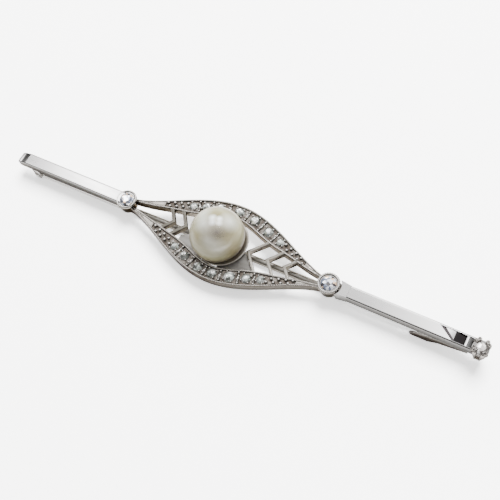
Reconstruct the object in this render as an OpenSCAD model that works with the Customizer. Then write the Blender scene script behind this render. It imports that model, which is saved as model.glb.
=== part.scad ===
// Bar brooch: two polished wings, a pierced navette panel with a pearl, two grain-set bands,
// two collet diamonds, a claw-set end diamond, a hinged pin stem and a catch.
// It lies face up. X runs along the bar, Y across it, and Z = 0 is the table it lies on.

/* [Bar] */
// Distance from the middle of the panel to each end of the bar
bar_half = 31; // [29:0.5:34]
// Width of the bar
bar_w = 1.6; // [1.4:0.05:2]
// Thickness of the bar
bar_t = 1.5; // [1.2:0.05:1.6]
// Height of the bar's top face above the table
bar_top = 2.94; // [2.8:0.02:3.1]
// Chamfer along the bar's top edges
bar_chamfer = 0.12; // [0.05:0.01:0.2]
// Slope along the bar's lower edges
bar_bevel = 0.35; // [0.1:0.05:0.4]
// Length over which the bar's left end rounds down
bar_nose = 0.8; // [0.5:0.1:1.2]
// Length over which the right wing widens towards its collet
flare_l = 1.6; // [0.8:0.1:2.4]

/* [Panel] */
// Distance from the middle of the panel to each side collet
collet_x = 14; // [13.5:0.25:15]
// Half width of the panel at its tips
tip_half_w = 0.65; // [0.5:0.05:0.9]
// Height of the panel's top face above the table
panel_top = 2.4; // [2.3:0.02:2.5]
// Thickness of the panel's bands
panel_t = 1.1; // [0.9:0.05:1.2]
// Width of each band at its middle, measured across the panel
band_w = 1.9; // [1.7:0.05:2.1]
// Extra width of each band half way to its tips
band_swell = 0.45; // [0.2:0.05:0.6]
// Width of each band at its tips
band_tip_w = 0.3; // [0.2:0.05:0.4]
// Width of the raised rims along a band's edges
rim_w = 0.24; // [0.15:0.01:0.3]
// Depth of the setting floor below the rims
rim_h = 0.12; // [0.05:0.01:0.2]

/* [Chevrons] */
// Places of the chevron points on the catch side, from the middle of the panel; one more touches the cup
chevrons_right = [5.65, 7.9];
// Places of the chevron points on the hinge side, from the middle of the panel
chevrons_left = [5.15, 6.85];
// Slant of the right chevrons' arms, length gained for each unit across
rake_right = 0.88; // [0.7:0.02:1]
// Slant of the left chevrons' arms
rake_left = 0.72; // [0.5:0.02:0.9]
// Thickness of a chevron's arms, measured along the bar
chevron_w = 0.5; // [0.4:0.02:0.7]
// Depth of the chevrons
chevron_t = 0.8; // [0.5:0.05:0.9]

/* [Pearl and cup] */
// Diameter of the pearl
pearl_d = 6.46; // [6:0.02:6.6]
// Height of the pearl's widest part above the table
pearl_z = 3.89; // [3.8:0.02:4.1]
// Distance that the pearl sits towards the hinge end
pearl_shift = 0.5; // [0.3:0.05:0.6]
// Distance that the cup sits towards the hinge end
cup_shift = 0.3; // [0.2:0.05:0.4]
// Clearance between the pearl's outline and the cup's inside at their nearest
pearl_gap = 0.02; // [0.01:0.01:0.05]
// Wall of the cup
cup_wall = 0.24; // [0.2:0.02:0.36]
// Height of the cup's underside above the table
cup_bottom = 1.15; // [1.1:0.01:1.2]
// Thickness of the cup's floor
cup_floor = 0.26; // [0.2:0.02:0.3]

/* [Stones] */
// Rose-cut stones of the far band: place along the bar, diameter
far_stones = [[-5.85, 1.05], [-4.3, 1.15], [-2.6, 1.2], [-0.15, 1.3], [2.15, 1.35], [4.35, 1.3], [6.3, 1.1]];
// Rose-cut stones of the near band: place along the bar, diameter
near_stones = [[-5.25, 1.1], [-3.5, 1.25], [-1.3, 1.3], [0.65, 1.25], [2.8, 1.4], [4.75, 1.25], [6.35, 1.05]];
// Height of a rose-cut stone as a share of its diameter
rose_ratio = 0.42; // [0.35:0.01:0.5]
// Clearance between a stone and its seat
stone_gap = 0.03; // [0.02:0.01:0.05]
// Diameter of the side collets' diamonds
side_stone_d = 1.75; // [1.6:0.05:1.9]
// Diameter of the claw-set end diamond
end_stone_d = 1.5; // [1.4:0.02:1.56]

/* [Settings] */
// Outer diameter of a side collet's rim
collet_d = 2.5; // [2.4:0.05:2.8]
// Outer diameter of a side collet's foot
collet_foot_d = 2.1; // [1.9:0.05:2.3]
// Height of a side collet's rim above the table
collet_top = 2.97; // [2.9:0.01:3.1]
// Height of a side collet's foot above the table
collet_foot_z = 1.3; // [1.3:0.02:1.5]
// Outer diameter of the end claw setting at the top
claw_d = 1.92; // [1.86:0.02:2.1]
// Outer diameter of the end claw setting at its foot
claw_foot_d = 1.5; // [1.3:0.02:1.7]
// Height of the claw tips above the table
claw_top = 3.6; // [3.4:0.02:3.8]
// Height of the claw setting's foot above the table
claw_foot_z = 1.2; // [1:0.02:1.4]
// Number of claws
claw_count = 6; // [5:1:8]
// Width of the slots between the claws
claw_slot = 0.42; // [0.3:0.02:0.5]
// Depth of the slots between the claws
claw_slot_h = 1.5; // [1:0.05:1.7]

/* [Pin and catch] */
// Diameter of the pin stem
stem_d = 0.84; // [0.7:0.02:0.86]
// Height of the closed stem's axis above the table
stem_z = 0.56; // [0.5:0.01:0.6]
// Sideways place of the stem at the hinge, negative towards the viewer
stem_y = -0.3; // [-0.4:0.01:0]
// Sideways place of the stem at its point
stem_tip_y = 0.4; // [0:0.01:0.5]
// Distance of the hinge's axis from the bar's left end
hinge_inset = 2.5; // [2:0.1:4]
// Length of the pin's pointed tip
point_l = 5; // [3:0.5:8]
// Width of the stem's hinge eye
eye_w = 0.4; // [0.3:0.02:0.44]
// Diameter of the hinge rivet
rivet_d = 0.38; // [0.34:0.01:0.42]
// Length of each hinge ear along the bar
ear_l = 1.1; // [0.9:0.05:1.3]
// Running clearance of the hinge, all round and on each side
hinge_gap = 0.03; // [0.02:0.01:0.05]
// Clearance between the stem and the far side of the catch
catch_gap = 0.05; // [0.04:0.01:0.08]
// Thickness of the catch's sides
catch_wall = 0.26; // [0.2:0.01:0.3]
// Length of the catch
catch_l = 7; // [6:0.25:9]
// Length of the catch's foot that stands on the table
catch_foot_l = 1.8; // [1:0.1:2.5]

/* [Hidden] */
$fn = 64;
cut = 0.5;
curve_steps = 44;
cup_rim = panel_top - 0.05;
bar_bottom = bar_top - bar_t;
panel_bottom = panel_top - panel_t;
seat_floor = panel_top - rim_h;
collet_r = collet_d / 2;
side_r = side_stone_d / 2;
end_r = end_stone_d / 2;
pearl_r = pearl_d / 2;
stem_r = stem_d / 2;
claw_r = claw_d / 2;
// The claw setting is soldered a little way into the bar's end
claw_solder = 0.15;
claw_x = bar_half + claw_r - claw_solder;
// The whole brooch is placed so that its box is centred on the origin
centre_x = (claw_x + claw_r - bar_half) / 2;
hinge_x = -bar_half + hinge_inset;
catch_x0 = bar_half - catch_l;
stem_tip_x = bar_half - 3.6;
// Sideways angle of the stem, which lies a little aslant under the bar
stem_aslant = atan((stem_tip_y - stem_y) / (stem_tip_x - hinge_x));
// A rose-cut stone's girdle stands a little above the setting floor
rose_sink = 0.16;
rose_seat_depth = rose_sink + stone_gap;
azure_share = 0.5;
// Girdle heights of the three brilliant-cut stones
side_girdle_z = collet_top - 0.14;
end_girdle_z = claw_top - 0.42;
// Inner sphere of the cup, set so that the shifted pearl still clears it
cup_in_r = pearl_r + pearl_shift - cup_shift + pearl_gap;
cup_out_r = cup_in_r + cup_wall;
pearl_base = cup_bottom + cup_floor + pearl_gap;
// Radius of the cup's rim, which both bands touch at the middle of the panel
cup_reach = sqrt(cup_out_r * cup_out_r - pow(pearl_z - cup_rim, 2));
solder_lap = 0.03;
panel_half_w = cup_reach + band_w - solder_lap;
eye_r = stem_z - 0.03;
eye_bore_r = rivet_d / 2 + hinge_gap;
ear_bore_r = rivet_d / 2 + 0.01;
ear_y = eye_w / 2 + hinge_gap;
rivet_head_r = rivet_d / 2 + 0.12;
rivet_head_t = 0.1;
// Outer faces of the hinge ears are flush with the bar's sides
ear_near = -bar_w / 2;
ear_far = bar_w / 2;
// Channel of the catch, between its near lip and its far side
channel_near = -bar_w / 2 + catch_wall;
channel_far = stem_tip_y + stem_r + catch_gap;

far_names = [for (i = [1 : len(far_stones)]) str("far_stone_", i)];
near_names = [for (i = [1 : len(near_stones)]) str("near_stone_", i)];

// Smooth fall from 1 at the middle of the panel to 0 at its tips
function fall(x) = (1 + cos(180 * min(abs(x) / collet_x, 1))) / 2;
// Half width of the panel's outer outline
function outer_y(x) = tip_half_w + (panel_half_w - tip_half_w) * pow(fall(x), 0.8);
// Width of a band, measured across the panel
function band_at(x) =
    let (u = min(abs(x) / collet_x, 1), swell = sin(180 * min(u / 0.7, 1)))
    band_tip_w + (band_w - band_tip_w + band_swell * swell * swell) * pow(1 - pow(u, 3), 2);
function inner_y(x) = outer_y(x) - band_at(x);
function middle_y(x) = (outer_y(x) + inner_y(x)) / 2;
// Width of a rim, thinner where a band narrows towards its tip
function rim_at(x) = min(rim_w, band_at(x) * 0.3);
function span(k) = -collet_x + 2 * collet_x * k / curve_steps;

module placed() {
    translate([-centre_x, 0, 0]) children();
}

// Flat outline between two curves of the panel, far side
module band_outline(inset) {
    polygon(concat(
        [for (k = [0 : curve_steps]) let (x = span(k)) [x, inner_y(x) + inset * rim_at(x)]],
        [for (k = [curve_steps : -1 : 0]) let (x = span(k)) [x, outer_y(x) - inset * rim_at(x)]]));
}

module band_blank() {
    difference() {
        translate([0, 0, panel_bottom]) linear_extrude(panel_t) band_outline(0);
        translate([0, 0, seat_floor]) linear_extrude(rim_h + cut) band_outline(1);
    }
}

// Drilled seats: a pocket for each stone and a smaller hole through the back
module seats(stones) {
    for (s = stones) {
        translate([s[0], middle_y(s[0]), seat_floor - rose_seat_depth])
            cylinder(r = s[1] / 2 + stone_gap, h = rim_h + rose_seat_depth + cut);
        translate([s[0], middle_y(s[0]), panel_bottom - cut])
            cylinder(r = s[1] / 2 * azure_share, h = panel_t + cut);
    }
}

module band(stones) {
    difference() {
        band_blank();
        seats(stones);
    }
}

module chevron(x, rake, way) {
    reach = 2.6;
    scale([way, 1, 1])
    translate([0, 0, panel_top - chevron_t])
    linear_extrude(chevron_t)
    intersection() {
        polygon([[x, 0], [x + rake * reach, reach], [x + rake * reach + chevron_w, reach],
            [x + chevron_w, 0], [x + rake * reach + chevron_w, -reach], [x + rake * reach, -reach]]);
        polygon(concat(
            [for (k = [0 : curve_steps]) [span(k), middle_y(span(k))]],
            [for (k = [curve_steps : -1 : 0]) [span(k), -middle_y(span(k))]]));
    }
}

// Cross-section of the bar, seen along it
module bar_section() {
    half = bar_w / 2;
    polygon([[-half + bar_bevel, 0], [half - bar_bevel, 0], [half, bar_bevel], [half, bar_t - bar_chamfer],
        [half - bar_chamfer, bar_t - bar_chamfer * 0.3], [0, bar_t],
        [-half + bar_chamfer, bar_t - bar_chamfer * 0.3], [-half, bar_t - bar_chamfer], [-half, bar_bevel]]);
}

// Side view of the left wing: from the collet to its rounded end
module left_wing_side() {
    polygon(concat([[-collet_x, 0]],
        [for (a = [-90 : 15 : 0]) [-bar_half + bar_nose - bar_nose * cos(a), bar_nose * 0.35 * (1 + sin(a))]],
        [for (a = [0 : 10 : 90]) [-bar_half + bar_nose - bar_nose * cos(a),
            bar_t - bar_nose * 0.85 * (1 - sin(a))]],
        [[-collet_x, bar_t]]));
}

module left_wing() {
    translate([0, 0, bar_bottom])
    intersection() {
        rotate([90, 0, 0]) translate([0, 0, -bar_w]) linear_extrude(2 * bar_w) left_wing_side();
        rotate([90, 0, -90]) linear_extrude(bar_half + cut) bar_section();
    }
}

// The right wing ends square and widens towards its collet
module right_wing() {
    half = bar_w / 2;
    flare_x = sqrt(collet_r * collet_r - half * half);
    translate([collet_x, 0, bar_bottom]) rotate([90, 0, 90]) linear_extrude(bar_half - collet_x) bar_section();
    translate([collet_x, 0, bar_bottom + bar_bevel])
    linear_extrude(bar_t - bar_bevel - bar_chamfer)
        polygon(concat([[0, 0]],
            [for (k = [0 : 8]) let (t = k / 8) [flare_x - 0.25 + flare_l * t, half + 0.28 * (1 - t) * (1 - t)]],
            [for (k = [8 : -1 : 0]) let (t = k / 8) [flare_x - 0.25 + flare_l * t, -half - 0.28 * (1 - t) * (1 - t)]]));
}

module side_collet_body() {
    rotate_extrude()
    polygon([[0, collet_foot_z], [collet_foot_d / 2, collet_foot_z], [collet_r - 0.06, collet_top - 0.3],
        [collet_r, collet_top - 0.14], [collet_r - 0.04, collet_top - 0.04], [collet_r - 0.14, collet_top],
        [0, collet_top]]);
}

// Bore of a side collet: open below, a cone for the stone's back, and a straight lip round its girdle
module side_collet_bore() {
    rotate_extrude()
    polygon([[0, panel_bottom - cut], [side_r * 0.5, panel_bottom - cut], [side_r * 0.5, side_girdle_z - side_r],
        [side_r + stone_gap, side_girdle_z - 0.05], [side_r + stone_gap, collet_top + cut],
        [0, collet_top + cut]]);
}

module cup_body() {
    translate([-cup_shift, 0, 0])
    intersection() {
        translate([0, 0, pearl_z]) sphere(r = cup_out_r, $fn = 96);
        translate([0, 0, cup_bottom]) cylinder(r = cup_out_r + cut, h = cup_rim - cup_bottom);
    }
    // Solder that joins the cup to both bands
    for (way = [-1, 1])
        translate([-cup_shift - 0.8, way * cup_reach - 0.25, cup_rim - 0.7]) cube([1.6, 0.5, 0.55]);
}

module cup_hollow() {
    translate([-cup_shift, 0, 0])
    intersection() {
        translate([0, 0, pearl_z]) sphere(r = cup_in_r, $fn = 96);
        translate([0, 0, cup_bottom + cup_floor]) cylinder(r = cup_out_r + cut, h = 2 * pearl_r);
    }
}

module claw_setting() {
    difference() {
        translate([claw_x, 0, 0]) difference() {
            translate([0, 0, claw_foot_z]) cylinder(r1 = claw_foot_d / 2, r2 = claw_r, h = claw_top - claw_foot_z);
            translate([0, 0, end_girdle_z - 0.04]) cylinder(r = end_r + stone_gap, h = claw_top);
            translate([0, 0, end_girdle_z - 0.04 - end_r * 0.8])
                cylinder(r1 = end_r * 0.3, r2 = end_r + stone_gap, h = end_r * 0.8);
            translate([0, 0, claw_foot_z - cut]) cylinder(r = end_r * 0.45, h = claw_top);
            for (i = [0 : claw_count - 1])
                rotate([0, 0, 360 / claw_count * (i + 0.5)])
                    translate([end_r * 0.5, -claw_slot / 2, claw_top - claw_slot_h])
                        cube([claw_d, claw_slot, claw_slot_h + cut]);
        }
        // The setting is fitted flat against the bar's end
        translate([-bar_w, -claw_d, 0]) cube([bar_half - claw_solder + bar_w, 2 * claw_d, 2 * claw_top]);
    }
}

// Two hinge ears under the bar's left end
module hinge_ears() {
    foot = bar_bottom + bar_bevel;
    translate([hinge_x - ear_l / 2, ear_near, 0]) cube([ear_l, stem_y - ear_y - ear_near, foot]);
    translate([hinge_x - ear_l / 2, stem_y + ear_y, 0]) cube([ear_l, ear_far - stem_y - ear_y, foot]);
}

module ear_bores() {
    translate([hinge_x, bar_w, stem_z]) rotate([90, 0, 0]) cylinder(r = ear_bore_r, h = 2 * bar_w);
}

// Side view of the catch: a tongue that deepens from the bar's end to its rounded mouth
module catch_side() {
    polygon([[bar_half - 0.3, bar_bottom + bar_t / 2], [bar_half - 0.3, bar_bottom - 0.02],
        [bar_half - 1.1, bar_bottom - 0.22], [bar_half - 3.6, 0.7], [catch_x0 + catch_foot_l + 0.4, 0],
        [catch_x0 + 0.4, 0], [catch_x0 + 0.12, 0.12], [catch_x0, 0.4], [catch_x0, bar_bottom + bar_t / 2]]);
}

// Long opening between the bar and the catch's near lip
module catch_window() {
    polygon([[catch_x0 - cut, bar_bottom + bar_bevel], [catch_x0 - cut, 0.4], [catch_x0, 0.5],
        [catch_x0 + 0.3, 0.8], [catch_x0 + 1.2, 1.25], [catch_x0 + 2.5, 1.59], [catch_x0 + 4, 1.74],
        [catch_x0 + 4.7, bar_bottom + bar_bevel]]);
}

module catch_body() {
    back_x = stem_tip_x + 2 * catch_gap;
    difference() {
        union() {
            translate([0, bar_w / 2, 0]) rotate([90, 0, 0]) linear_extrude(bar_w) catch_side();
            // The far side stands out beyond the bar, below it
            intersection() {
                translate([0, channel_far + catch_wall, 0]) rotate([90, 0, 0])
                    linear_extrude(channel_far + catch_wall) catch_side();
                translate([catch_x0, 0, 0]) cube([back_x + 0.4 - catch_x0, 2 * bar_w, bar_bottom]);
            }
        }
        // Channel for the stem, open below and towards the mouth
        translate([catch_x0 - cut, channel_near, -cut])
            cube([back_x + cut - catch_x0, channel_far - channel_near, stem_z + stem_r + 2 * catch_gap + cut]);
        // Hollow behind the near lip
        translate([catch_x0 - cut, channel_near, -cut])
            cube([back_x + cut - catch_x0, stem_tip_y - channel_near, bar_bottom + cut]);
        translate([0, channel_near + cut / 5, 0]) rotate([90, 0, 0]) linear_extrude(2 * bar_w) catch_window();
    }
}

module frame() {
    placed() color("lightgray")
    difference() {
        union() {
            band(far_stones);
            mirror([0, 1, 0]) band(near_stones);
            for (x = concat([cup_reach - cup_shift - solder_lap], chevrons_right)) chevron(x, rake_right, 1);
            for (x = chevrons_left) chevron(x, rake_left, -1);
            left_wing();
            right_wing();
            for (x = [-collet_x, collet_x]) translate([x, 0, 0]) side_collet_body();
            cup_body();
            claw_setting();
            hinge_ears();
            catch_body();
        }
        for (x = [-collet_x, collet_x]) translate([x, 0, 0]) side_collet_bore();
        cup_hollow();
        ear_bores();
    }
}

module pearl() {
    placed() color("ivory")
    translate([-pearl_shift, 0, 0])
    intersection() {
        translate([0, 0, pearl_z]) sphere(r = pearl_r, $fn = 96);
        translate([0, 0, pearl_base]) cylinder(r = pearl_d, h = 2 * pearl_d);
    }
}

// Rose cut with a small table: rings of eight corners, each turned by half a step
module rose_cut(d) {
    h = d * rose_ratio;
    rings = [[0.5, 0, 0], [0.5, 0.16, 0], [0.4, 0.55, 22.5], [0.2, 0.92, 0], [0.12, 1, 22.5]];
    pts = [for (q = rings) for (i = [0 : 7]) [d * q[0] * cos(45 * i + q[2]), d * q[0] * sin(45 * i + q[2]), h * q[1]]];
    sides = [for (k = [0 : len(rings) - 2]) for (i = [0 : 7])
        let (a = 8 * k + i, b = 8 * k + (i + 1) % 8, c = a + 8, e = b + 8,
            turned = rings[k + 1][2] > rings[k][2], level = rings[k + 1][2] == rings[k][2])
        each (level || turned ? [[a, c, b], [b, c, e]] : [[a, c, e], [a, e, b]])];
    polyhedron(points = pts, faces = concat([[for (i = [0 : 7]) i]], sides,
        [[for (i = [7 : -1 : 0]) 8 * (len(rings) - 1) + i]]));
}

module rose_stone(s, way) {
    placed() color("azure")
        translate([s[0], way * middle_y(s[0]), seat_floor - rose_sink]) rose_cut(s[1]);
}

// Brilliant cut: table, eight crown mains, sixteen girdle facets and a pointed back
module brilliant_cut(d) {
    r = d / 2;
    table = [for (i = [0 : 7]) [r * 0.56 * cos(45 * i), r * 0.56 * sin(45 * i), r * 0.32]];
    upper = [for (i = [0 : 15]) [r * cos(22.5 * i), r * sin(22.5 * i), r * 0.03]];
    lower = [for (i = [0 : 15]) [r * cos(22.5 * i), r * sin(22.5 * i), -r * 0.03]];
    crown = [for (i = [0 : 7]) let (t = i, u = (i + 1) % 8, g = 8 + 2 * i)
        each [[t, u, g + 1], [t, g + 1, g], [u, 8 + (2 * i + 2) % 16, g + 1]]];
    girdle = [for (i = [0 : 15]) let (j = (i + 1) % 16) each [[8 + i, 8 + j, 24 + i], [8 + j, 24 + j, 24 + i]]];
    back = [for (i = [0 : 15]) [24 + i, 24 + (i + 1) % 16, 40]];
    polyhedron(points = concat(table, upper, lower, [[0, 0, -r * 0.86]]),
        faces = concat([[for (i = [7 : -1 : 0]) i]], crown, girdle, back));
}

module side_diamond(way) {
    placed() color("azure") translate([way * collet_x, 0, side_girdle_z]) brilliant_cut(side_stone_d);
}

module end_diamond() {
    placed() color("azure") translate([claw_x, 0, end_girdle_z]) brilliant_cut(end_stone_d);
}

module pin_stem() {
    neck_l = ear_l / 2 + stem_r;
    straight_l = (stem_tip_x - point_l - hinge_x) / cos(stem_aslant);
    placed() color("silver")
    translate([hinge_x, stem_y, stem_z])
    difference() {
        union() {
            translate([0, eye_w / 2, 0]) rotate([90, 0, 0]) cylinder(r = eye_r, h = eye_w);
            translate([0, -eye_w / 2, -stem_r * 0.8]) cube([neck_l + stem_r * 0.5, eye_w, stem_r * 1.6]);
            rotate([0, 0, stem_aslant]) {
                translate([neck_l, 0, 0]) rotate([0, 90, 0]) cylinder(r = stem_r, h = straight_l - neck_l);
                translate([straight_l, 0, 0]) rotate([0, 90, 0])
                    cylinder(r1 = stem_r, r2 = stem_r * 0.12, h = point_l);
            }
        }
        translate([0, eye_w, 0]) rotate([90, 0, 0]) cylinder(r = eye_bore_r, h = 2 * eye_w);
    }
}

module hinge_rivet() {
    placed() color("silver")
    translate([hinge_x, 0, stem_z]) rotate([90, 0, 0]) {
        translate([0, 0, ear_near - rivet_head_t]) cylinder(r = rivet_d / 2, h = bar_w + 2 * rivet_head_t);
        for (z = [ear_near - rivet_head_t - 0.01, ear_far + 0.01])
            translate([0, 0, z]) cylinder(r = rivet_head_r, h = rivet_head_t);
    }
}

frame();
pearl();
side_diamond(-1);  // left_diamond
side_diamond(1);  // right_diamond
end_diamond();
pin_stem();
hinge_rivet();
for (i = [0 : len(far_stones) - 1])
    rose_stone(far_stones[i], 1);
for (i = [0 : len(near_stones) - 1])
    rose_stone(near_stones[i], -1);
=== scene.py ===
import math

import bmesh
import bpy
from mathutils import Matrix, Vector, noise


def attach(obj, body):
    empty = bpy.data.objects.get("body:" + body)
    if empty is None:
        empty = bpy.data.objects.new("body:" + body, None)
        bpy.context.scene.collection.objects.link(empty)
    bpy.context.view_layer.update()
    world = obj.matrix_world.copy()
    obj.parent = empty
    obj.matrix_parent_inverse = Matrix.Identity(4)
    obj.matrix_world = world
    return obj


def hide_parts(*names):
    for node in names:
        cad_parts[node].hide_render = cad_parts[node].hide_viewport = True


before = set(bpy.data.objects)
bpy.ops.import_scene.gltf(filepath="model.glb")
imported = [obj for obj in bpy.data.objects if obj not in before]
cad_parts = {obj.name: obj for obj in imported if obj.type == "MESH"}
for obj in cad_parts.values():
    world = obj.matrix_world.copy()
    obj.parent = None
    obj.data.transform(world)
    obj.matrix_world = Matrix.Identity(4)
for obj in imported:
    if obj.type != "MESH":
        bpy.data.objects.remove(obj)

bl_info = {
    "name": "Bar Brooch",
    "version": (1, 0, 0),
    "blender": (4, 5, 0),
    "location": "3D View > Sidebar > Brooch",
    "description": "Builds a bar brooch with a pearl, set stones, a pin and its catch",
    "category": "Add Mesh",
}

MM = 0.001
# The brooch's box is centred on the origin, so the pearl's panel lies a little to the left.
CENTRE_X = 0.885
BAR_TOP = 2.94
BAR_BOTTOM = 1.44
PANEL_TOP = 2.4
PANEL_BOTTOM = 1.3
COLLET_X = 14.0
BAR_END = 31.0
HINGE_X = -28.5
STEM_Z = 0.56
CLAW_X = 31.81
CLAW_Y = -0.22
BAR_HALF = 0.8
BAR_ROOT = 16.4
# Middles of the pearl's seat and cup, which the pearl's patches are measured from as well.
SEAT_X = -0.5
CUP_MIDDLE_Z = 3.89
PEARL_CENTRE = (-0.58, -0.09, 3.85)
PEARL_RADIUS = 3.33
PEARL_FOOT_Z = 1.44
TIP_LEFT = -9.2
TIP_RIGHT = 10.2
# Place along the panel and width of each rose-cut stone.
FAR_STONES = ((-5.85, 1.05), (-4.3, 1.15), (-2.6, 1.2), (-0.15, 1.3), (2.15, 1.35), (4.35, 1.3),
              (6.3, 1.1))
NEAR_STONES = ((-5.25, 1.1), (-3.5, 1.25), (-1.3, 1.3), (0.65, 1.25), (2.8, 1.4), (4.75, 1.25),
               (6.35, 1.05))


def at(x, y, z):
    """A place given in millimetres from the panel's middle, in metres in the frame."""
    return Vector(((x - CENTRE_X) * MM, y * MM, z * MM))


def smooth_step(t):
    t = max(0.0, min(1.0, t))
    return t * t * (3 - 2 * t)


def outer_y(x):
    """Outer outline of the panel, a soft wave between the two collets."""
    u = min(abs(x) / COLLET_X, 1.0)
    return 0.65 + 4.6 * ((1 + math.cos(math.pi * u)) / 2) ** 0.8


def band_width(x):
    """Width of a set band, widest between the pearl and the tips."""
    u = min(abs(x) / COLLET_X, 1.0)
    swell = math.sin(math.pi * min(u / 0.7, 1.0))
    return 0.3 + (1.6 + 0.45 * swell * swell) * (1 - u ** 3) ** 2


def inner_y(x):
    return outer_y(x) - band_width(x)


def middle_y(x):
    return (outer_y(x) + inner_y(x)) / 2


class Nodes:
    """The node tree of a material or of the world, with short helpers."""

    def __init__(self, owner, shader="Principled BSDF", coords="Object"):
        owner.use_nodes = True
        self.owner = owner
        self.tree = owner.node_tree
        self.shader = self.tree.nodes[shader]
        self.coords = self.tree.nodes.new("ShaderNodeTexCoord").outputs[coords]

    def node(self, kind, **values):
        """A new node, with values for its own settings or for its input sockets."""
        made = self.tree.nodes.new(kind)
        for key, value in values.items():
            if hasattr(made, key):
                setattr(made, key, value)
            else:
                made.inputs[key.replace("_", " ")].default_value = value
        return made

    def link(self, a, b):
        self.tree.links.new(a, b)

    def stretched(self, scale):
        mapping = self.node("ShaderNodeMapping")
        mapping.inputs["Scale"].default_value = scale
        self.link(self.coords, mapping.inputs["Vector"])
        return mapping.outputs["Vector"]

    def noise(self, scale, detail=3.0, roughness=0.5, stretch=None):
        made = self.node("ShaderNodeTexNoise", Scale=scale, Detail=detail, Roughness=roughness)
        self.link(self.stretched(stretch) if stretch else self.coords, made.inputs["Vector"])
        return made.outputs["Fac"]

    def ramp(self, factor, *stops):
        made = self.node("ShaderNodeValToRGB")
        elements = made.color_ramp.elements
        elements[0].position, elements[0].color = stops[0][0], (*stops[0][1], 1)
        elements[1].position, elements[1].color = stops[1][0], (*stops[1][1], 1)
        for position, color in stops[2:]:
            elements.new(position).color = (*color, 1)
        self.link(factor, made.inputs["Fac"])
        return made.outputs["Color"]

    def mix(self, factor, a, b, blend="MIX"):
        made = self.node("ShaderNodeMix", data_type="RGBA", blend_type=blend)
        for value, socket in ((factor, made.inputs[0]), (a, made.inputs[6]), (b, made.inputs[7])):
            if isinstance(value, (int, float)):
                socket.default_value = value
            elif isinstance(value, tuple):
                socket.default_value = (*value, 1)
            else:
                self.link(value, socket)
        return made.outputs[2]

    def math(self, operation, a, b=0.0):
        made = self.node("ShaderNodeMath", operation=operation)
        for value, socket in ((a, made.inputs[0]), (b, made.inputs[1])):
            if isinstance(value, (int, float)):
                socket.default_value = value
            else:
                self.link(value, socket)
        return made.outputs[0]

    def span(self, value, low, high, to_low=0.0, to_high=1.0):
        """Carries a value from one range to another and stops at its ends."""
        made = self.node("ShaderNodeMapRange", clamp=True)
        self.link(value, made.inputs["Value"])
        for key, number in (("From Min", low), ("From Max", high), ("To Min", to_low), ("To Max", to_high)):
            made.inputs[key].default_value = number
        return made.outputs[0]

    def axis(self, vector, index):
        made = self.node("ShaderNodeSeparateXYZ")
        self.link(vector, made.inputs[0])
        return made.outputs[index]

    def bump(self, height, strength, distance):
        made = self.node("ShaderNodeBump", Strength=strength, Distance=distance)
        self.link(height, made.inputs["Height"])
        self.link(made.outputs["Normal"], self.shader.inputs["Normal"])

    def put(self, socket, value):
        """Gives the shader's socket a number, a colour or another node's output."""
        if isinstance(value, (int, float)):
            self.shader.inputs[socket].default_value = value
        elif isinstance(value, tuple):
            self.shader.inputs[socket].default_value = (*value, 1)
        else:
            self.link(value, self.shader.inputs[socket])


def polished_metal(name, color, wall_shade_color, roughness=0.16, wear=1.0, root=None):
    """White metal with painted shade: darker on upright walls than on top, and darker still towards the
    left root where a root colour is given.
    """
    n = Nodes(bpy.data.materials.new(name))
    # Painted shade in the hollow towards the left root, beside the collet.
    if root:
        darkest, lightest = -0.0106, -0.0088
        wall_shade_color = n.mix(n.span(n.axis(n.coords, 0), darkest, lightest), root, wall_shade_color)
    geometry = n.node("ShaderNodeNewGeometry")
    up = n.math("ABSOLUTE", n.axis(geometry.outputs["Normal"], 2))
    cloud = n.noise(260, 4, 0.6)
    scratch = n.noise(1500, 5, 0.7, (0.12, 1.0, 1.0))
    top = n.mix(n.span(cloud, 0.35, 0.65), color, tuple(c * 0.93 for c in color))
    # Painted shade: upright walls get the darker colour, level faces the top colour.
    n.put("Base Color", n.mix(n.span(up, 0.55, 0.93), wall_shade_color, top))
    n.put("Metallic", 1.0)
    n.put("Specular Tint", (0.22, 0.21, 0.2))
    n.put("Roughness", n.span(scratch, 0.3, 0.7, roughness * 0.75, roughness * (1 + 0.6 * wear)))
    n.bump(scratch, 0.12 * wear, 0.00002)
    return n.owner


def dark_metal(name, dark, light, roughness=0.42):
    """Oxidised metal in recesses: brown-black with worn lighter grains."""
    n = Nodes(bpy.data.materials.new(name))
    grain = n.noise(2600, 5, 0.7)
    patch = n.noise(700, 3, 0.6)
    worn = n.math("MULTIPLY", n.span(grain, 0.45, 0.7), n.span(patch, 0.35, 0.65))
    n.put("Base Color", n.mix(worn, dark, light))
    n.put("Metallic", 0.85)
    n.put("Roughness", n.span(grain, 0.3, 0.7, roughness * 0.7, roughness * 1.4))
    n.bump(grain, 0.5, 0.00004)
    return n.owner


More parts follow.
